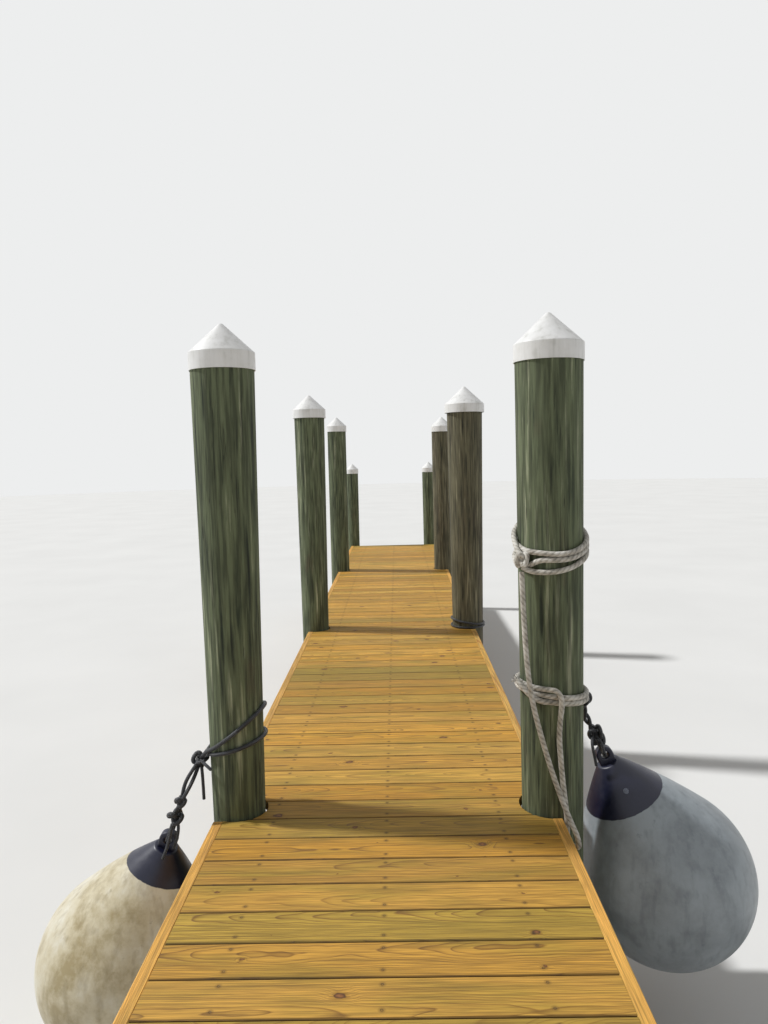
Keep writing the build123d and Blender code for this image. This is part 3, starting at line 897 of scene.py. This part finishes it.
stringing = sawn_pine(
    "sawn_stringer_pine", (-0.63, 0.3095 - 6.2, 0.778), (0.42, 6.2, 0.184), "YZX",
    FRAME_TINTS,
)
beaming = sawn_pine(
    "sawn_beam_pine", (-5, -5.7865, 0.543), (10, 0.2032, 0.235), "XZY", FRAME_TINTS,
)

# %% [markdown]
# ## Piles and caps
# The piles are peeled pine poles, treated and then weathered for years: olive and grey-brown
# streaks that follow the trunk, thin drying cracks, and a dark wet foot. Noise drawn out along
# the height gives the streaks, and the narrow band where another noise passes its middle
# value gives cracks that wander as real ones do. The caps are moulded white polyethylene.

# %% Weathered poles
def weathered_pole(name, dark, body, pale, brown, share):
    """A peeled and weathered pole, whose share of brown patches is given."""
    material, tree, where = new_material(name)
    # Streaks of 24 mm, patches of 125 mm, fine streaks of 13 mm, and the lines of the cracks:
    # how much each is drawn out along the height, its scale, its detail and its roughness.
    streak, patch, speck, wave = (
        add(
            tree, "TexNoise",
            {"Vector": add(tree, "Mapping", {"Vector": where, "Scale": (1, 1, squeeze)}),
             "Scale": scale, "Detail": detail, "Roughness": rough},
        )
        for squeeze, scale, detail, rough in (
            (0.045, 42, 6, 0.62), (0.3, 8, 5, 0.6), (0.06, 75, 4, 0.5), (0.018, 34, 3, 0.5),
        )
    )
    colour = add(tree, "ValToRGB", {"Fac": streak},
                 stops=[(0.34, dark), (0.46, body), (0.57, body), (0.7, pale)])
    brownish = add(tree, "MapRange", {0: patch, 1: 0.62 - share, 2: 0.78 - share, 4: 0.8})
    colour = add(tree, "Mix", {0: brownish, 6: colour, 7: brown}, 2, data_type="RGBA")
    light = add(tree, "ValToRGB", {"Fac": speck}, stops=[(0.38, "#989898"), (0.6, "#FFFFFF")])
    colour = add(tree, "Mix", {0: 0.8, 6: colour, 7: light}, 2, data_type="RGBA",
                 blend_type="MULTIPLY")
    from_middle = add(tree, "Math", {0: wave, 1: 0.5}, operation="SUBTRACT")
    from_middle = add(tree, "Math", {0: from_middle}, operation="ABSOLUTE")
    crack = add(tree, "MapRange", {0: from_middle, 1: 0.007, 2: 0.002, 4: 0.7})
    where_cracked = add(tree, "MapRange", {0: patch, 1: 0.46, 2: 0.54})
    crack = add(tree, "Math", {0: crack, 1: where_cracked}, operation="MULTIPLY")
    colour = add(tree, "Mix", {0: crack, 6: colour, 7: "#2A2D23"}, 2, data_type="RGBA")
    height = add(tree, "SeparateXYZ", {0: where}, out=2)
    ragged = add(tree, "Math", {0: streak, 1: -0.5, 2: height}, operation="MULTIPLY_ADD")
    wet = add(tree, "MapRange", {0: ragged, 1: 0.22, 2: -0.02, 4: 0.8},
              interpolation_type="SMOOTHSTEP")
    colour = add(tree, "Mix", {0: wet, 6: colour, 7: "#2B2D20"}, 2, data_type="RGBA")
    deep = add(tree, "Math", {0: crack, 1: -2.0, 2: streak}, operation="MULTIPLY_ADD")
    bump = add(tree, "Bump", {"Height": deep, "Distance": 0.0022})
    gloss = add(tree, "MapRange", {0: wet, 3: 0.82, 4: 0.45})
    return finish(
        material, {"Base Color": colour, "Roughness": gloss, "Normal": bump, "IOR": 1.45}
    )


green_pole = weathered_pole(
    "weathered_pine_pole", "#343D2E", "#6A7357", "#B6BA9C", "#6C6450", 0.0
)
brown_pole = weathered_pole(
    "browned_pine_pole", "#353528", "#6E6A53", "#AAA386", "#6C6350", 0.1
)

# %% Moulded caps
# Moulded polyethylene: a white that is a little milky, with an orange peel of 2.4 mm, and
# grey dirt in clouds of 56 mm and in vertical runs 18 mm wide.
capping, tree, where = new_material("moulded_polyethylene")
fall = add(tree, "Mapping", {"Vector": where, "Scale": (1, 1, 0.12)})
runs = add(tree, "TexNoise", {"Vector": fall, "Scale": 55, "Detail": 5})
dirt = add(tree, "TexNoise", {"Vector": where, "Scale": 18, "Detail": 4})
both = add(tree, "Math", {0: runs, 1: dirt}, operation="MULTIPLY")
tone = add(tree, "ValToRGB", {"Fac": both},
           stops=[(0.1, "#CFCFCB"), (0.2, "#E6E6E4"), (0.34, "#EEEEED")])
peel = add(tree, "TexNoise", {"Vector": where, "Scale": 420, "Detail": 2})
bump = add(tree, "Bump", {"Height": peel, "Distance": 0.0002})
gloss = add(tree, "MapRange", {0: runs, 3: 0.5, 4: 0.36})
finish(capping, {"Base Color": tone, "Roughness": gloss, "Normal": bump, "IOR": 1.54})

# %% [markdown]
# ## Fenders
# The fenders are blown vinyl buoys, off-white and scuffed below, with a navy neck that was
# sprayed on up to a clean line. One material can hold both: which side of a plane a point
# lies on picks the colour. The plane stands square, or nearly so, to the line of the fender.
# The left one has yellowed in the sun. The right one, which hangs in shade, is darker and bluer:
# partly greyed vinyl, partly painted shade.

# %% Scuffed vinyl
# Dirt in clouds of 180 mm, smears 33 mm wide that run down, and rubbed spots of 60 mm, which
# are rougher than the rest. The navy line wavers every 17 mm. On the left it goes through a
# point, and on the right it lies square to the fender, this far from the middle of the ball.
LEFT_BALL, LEFT_LINE = Vector((-1.037, -2.7025, 0.3799)), (-0.9024, -2.8464, 0.7943)
RIGHT_LINE = 0.399


def buoy_vinyl(name, border, facing, dirty, middling, clean, stain):
    """Scuffed vinyl in three tones that turns navy on the far side of a plane."""
    material, tree, where = new_material(name)
    offset = add(tree, "VectorMath", {0: where, 1: border}, operation="SUBTRACT")
    beyond = add(tree, "VectorMath", {0: offset, 1: facing}, out="Value", operation="DOT_PRODUCT")
    ragged = add(tree, "TexNoise", {"Vector": where, "Scale": 60, "Detail": 2})
    line = add(tree, "Math", {0: ragged, 1: 0.004, 2: beyond}, operation="MULTIPLY_ADD")
    navy = add(tree, "MapRange", {0: line, 1: 0.001, 2: 0.003})
    grime = add(tree, "TexNoise", {"Vector": where, "Scale": 5.5, "Detail": 8, "Roughness": 0.66})
    tone = add(tree, "ValToRGB", {"Fac": grime},
               stops=[(0.34, dirty), (0.48, middling), (0.62, clean)])
    down = add(tree, "Mapping", {"Vector": where, "Scale": (1, 1, 0.22)})
    smear = add(tree, "TexNoise", {"Vector": down, "Scale": 30, "Detail": 6})
    veil = add(tree, "MapRange", {0: smear, 1: 0.52, 2: 0.72, 4: 0.5})
    tone = add(tree, "Mix", {0: veil, 6: tone, 7: stain}, 2, data_type="RGBA")
    rub = add(tree, "TexNoise", {"Vector": where, "Scale": 16, "Detail": 9, "Roughness": 0.75})
    worn = add(tree, "MapRange", {0: rub, 1: 0.6, 2: 0.66, 4: 0.45})
    tone = add(tree, "Mix", {0: worn, 6: tone, 7: stain}, 2, data_type="RGBA")
    dust = add(tree, "MapRange", {0: rub, 1: 0.45, 2: 0.75, 4: 0.1})
    blue = add(tree, "Mix", {0: dust, 6: "#0D112B", 7: "#5E5E6C"}, 2, data_type="RGBA")
    tone = add(tree, "Mix", {0: navy, 6: tone, 7: blue}, 2, data_type="RGBA")
    gloss = add(tree, "MapRange", {0: rub, 1: 0.3, 2: 0.7, 3: 0.3, 4: 0.52})
    bump = add(tree, "Bump", {"Height": rub, "Distance": 0.0008})
    return finish(
        material, {"Base Color": tone, "Roughness": gloss, "Normal": bump, "IOR": 1.53}
    )


left_spine = (left_eye - LEFT_BALL).normalized()
left_border = (left_spine + Vector((0.396, 0.279, 0.875))).normalized()
left_vinyl = buoy_vinyl(
    "yellowed_buoy_vinyl", LEFT_LINE, left_border,
    "#A99A74", "#CDC3A6", "#DDD8C6", "#8C7C58",
)
# The right fender's grey-blue tones are partly greyed vinyl and partly painted shade, as it looks
# hanging in shade.
shaded_right_vinyl = buoy_vinyl(
    "shade_painted_buoy_vinyl", RIGHT_BALL + spine * RIGHT_LINE, spine,
    "#848C91", "#979FA5", "#A5AEB4", "#747C82",
)

# %% [markdown]
# ## Ropes, screws and bolts
# The black rope is braided nylon with a dull shine: two families of eight strands run round
# it against each other, and a chequer picks which one is on top. The mooring rope is polyester
# laid from three strands, once white, whose dirt and wear have all but closed the grooves. The
# screws are dulled steel, and the bolts are hot-dip galvanised, an uneven grey.

# %% Strands of a rope
# A strand goes once round in 3.2 diameters. Its yarns are too fine to show, so they are drawn
# as specks of 2.4 mm. The dirt comes in clouds of 33 mm.
def stranded(name, diameter, strands, crossed, tones, roughness, sheen):
    """Strands that run round a rope one way, or both ways in a braid, with dirt in them and painted
    shade in their grooves.
    """
    material, tree, where = new_material(name)
    map_of = add(tree, "SeparateXYZ", {0: add(tree, "TexCoord", out="UV")}).node.outputs
    run = add(tree, "Math", {0: map_of[0], 1: strands / (3.2 * diameter)}, operation="MULTIPLY")
    ways, crowns = [], []
    for sign in (1.0, -1.0) if crossed else (1.0,):
        way = add(tree, "Math", {0: map_of[1], 1: sign * strands, 2: run}, operation="MULTIPLY_ADD")
        wave = add(tree, "Math", {0: way, 1: pi}, operation="MULTIPLY")
        wave = add(tree, "Math", {0: wave}, operation="SINE")
        ways.append(add(tree, "Math", {0: way}, operation="FLOOR"))
        crowns.append(add(tree, "Math", {0: wave}, operation="ABSOLUTE"))
    crown = crowns[0]
    if crossed:
        total = add(tree, "Math", {0: ways[0], 1: ways[1]}, operation="ADD")
        on_top = add(tree, "Math", {0: total, 1: 2.0}, operation="FLOORED_MODULO")
        crown = add(tree, "Mix", {0: on_top, 2: crowns[0], 3: crowns[1]}, data_type="FLOAT")
    yarn = add(tree, "TexNoise", {"Vector": where, "Scale": 420, "Detail": 3})
    dirt = add(tree, "TexNoise", {"Vector": where, "Scale": 30, "Detail": 5})
    mixed = add(tree, "Math", {0: yarn, 1: 0.35, 2: dirt}, operation="MULTIPLY_ADD")
    # The crowns of the strands come out paler and the grooves between them darker: painted shade in
    # the grooves.
    mixed = add(tree, "Math", {0: crown, 1: 0.22, 2: mixed}, operation="MULTIPLY_ADD")
    dark, body, pale = tones
    tone = add(tree, "ValToRGB", {"Fac": mixed}, stops=[(0.56, dark), (0.78, body), (1.0, pale)])
    relief = add(tree, "Math", {0: yarn, 1: 0.4, 2: crown}, operation="MULTIPLY_ADD")
    bump = add(tree, "Bump", {"Height": relief, "Distance": 0.001})
    return finish(
        material,
        {"Base Color": tone, "Roughness": roughness, "Normal": bump, "IOR": 1.53,
         "Sheen Weight": sheen, "Sheen Roughness": 0.4},
    )


black_nylon = stranded(
    "black_braided_nylon", BLACK_ROPE, 8, True, ("#0A0B0E", "#15171C", "#34373E"), 0.4, 0.2
)
grey_polyester = stranded(
    "weathered_laid_polyester", GREY_ROPE, 3, False, ("#837F77", "#BDB8AD", "#DCD9D2"),
    0.85, 0.3,
)


# %% Steel
# Coated screws in dull browns, with clouds of 11 mm that give each head its own tone, and
# zinc with a spangle of 6 mm. The plug is soft grey vinyl with pale specks of 3 mm.
def dull_steel(name, dark, pale, metallic, roughness, scale):
    """Steel with clouds in two tones."""
    material, tree, where = new_material(name)
    cloud = add(tree, "TexNoise", {"Vector": where, "Scale": scale, "Detail": 4})
    tone = add(tree, "ValToRGB", {"Fac": cloud}, stops=[(0.35, dark), (0.65, pale)])
    return finish(material, {"Base Color": tone, "Roughness": roughness, "Metallic": metallic})


screw_steel = dull_steel("coated_screw_steel", "#4A3F2C", "#6B5B3C", 0.7, 0.5, 90)
bolt_steel = dull_steel("galvanised_steel", "#7F8487", "#A3A8AA", 1.0, 0.48, 160)
plug_vinyl, tree, where = new_material("grey_plug_vinyl")
wear = add(tree, "TexNoise", {"Vector": where, "Scale": 300, "Detail": 3})
tone = add(tree, "ValToRGB", {"Fac": wear}, stops=[(0.35, "#5E6474"), (0.65, "#8A90A0")])
finish(plug_vinyl, {"Base Color": tone, "Roughness": 0.45, "IOR": 1.53})

# %% Give every part its finish
# The first start that fits the name of a node counts. The last one fits the grey rope.
LOOKS = (
    ("deck_boards", decking), ("edge_board", edging), ("end_board", end_edging),
    ("stringer", stringing), ("cross_beams", beaming), ("shore_beam", beaming),
    ("pile_3_right", brown_pole), ("pile_4_right", brown_pole), ("pile", green_pole),
    ("cap", capping), ("fender_left", left_vinyl), ("fender_right", shaded_right_vinyl),
    ("rope_turns_left", black_nylon),
    ("lanyard", black_nylon), ("eye_loop", black_nylon), ("knots", black_nylon),
    ("", grey_polyester),
)
for name, node in nodes.items():
    look = next(look for start, look in LOOKS if name.startswith(start))
    node.data.materials.clear()
    node.data.materials.append(look)
for piece in (
    left_turns, left_lanyard, left_loop, left_upper_knot, left_eye_knot, left_middle_knot,
    right_lanyard, right_loop, right_upper_knot, right_eye_knot, right_lower_knot,
    foot_turns, foot_knot,
):
    piece.data.materials.append(black_nylon)
for piece in (upper_turns, hitch, bight, lower_turns, frayed):
    piece.data.materials.append(grey_polyester)
for piece, look in ((screws, screw_steel), (bolts, bolt_steel), (valve_plug, plug_vinyl)):
    piece.data.materials.append(look)
print("finishes on", len(nodes), "nodes")
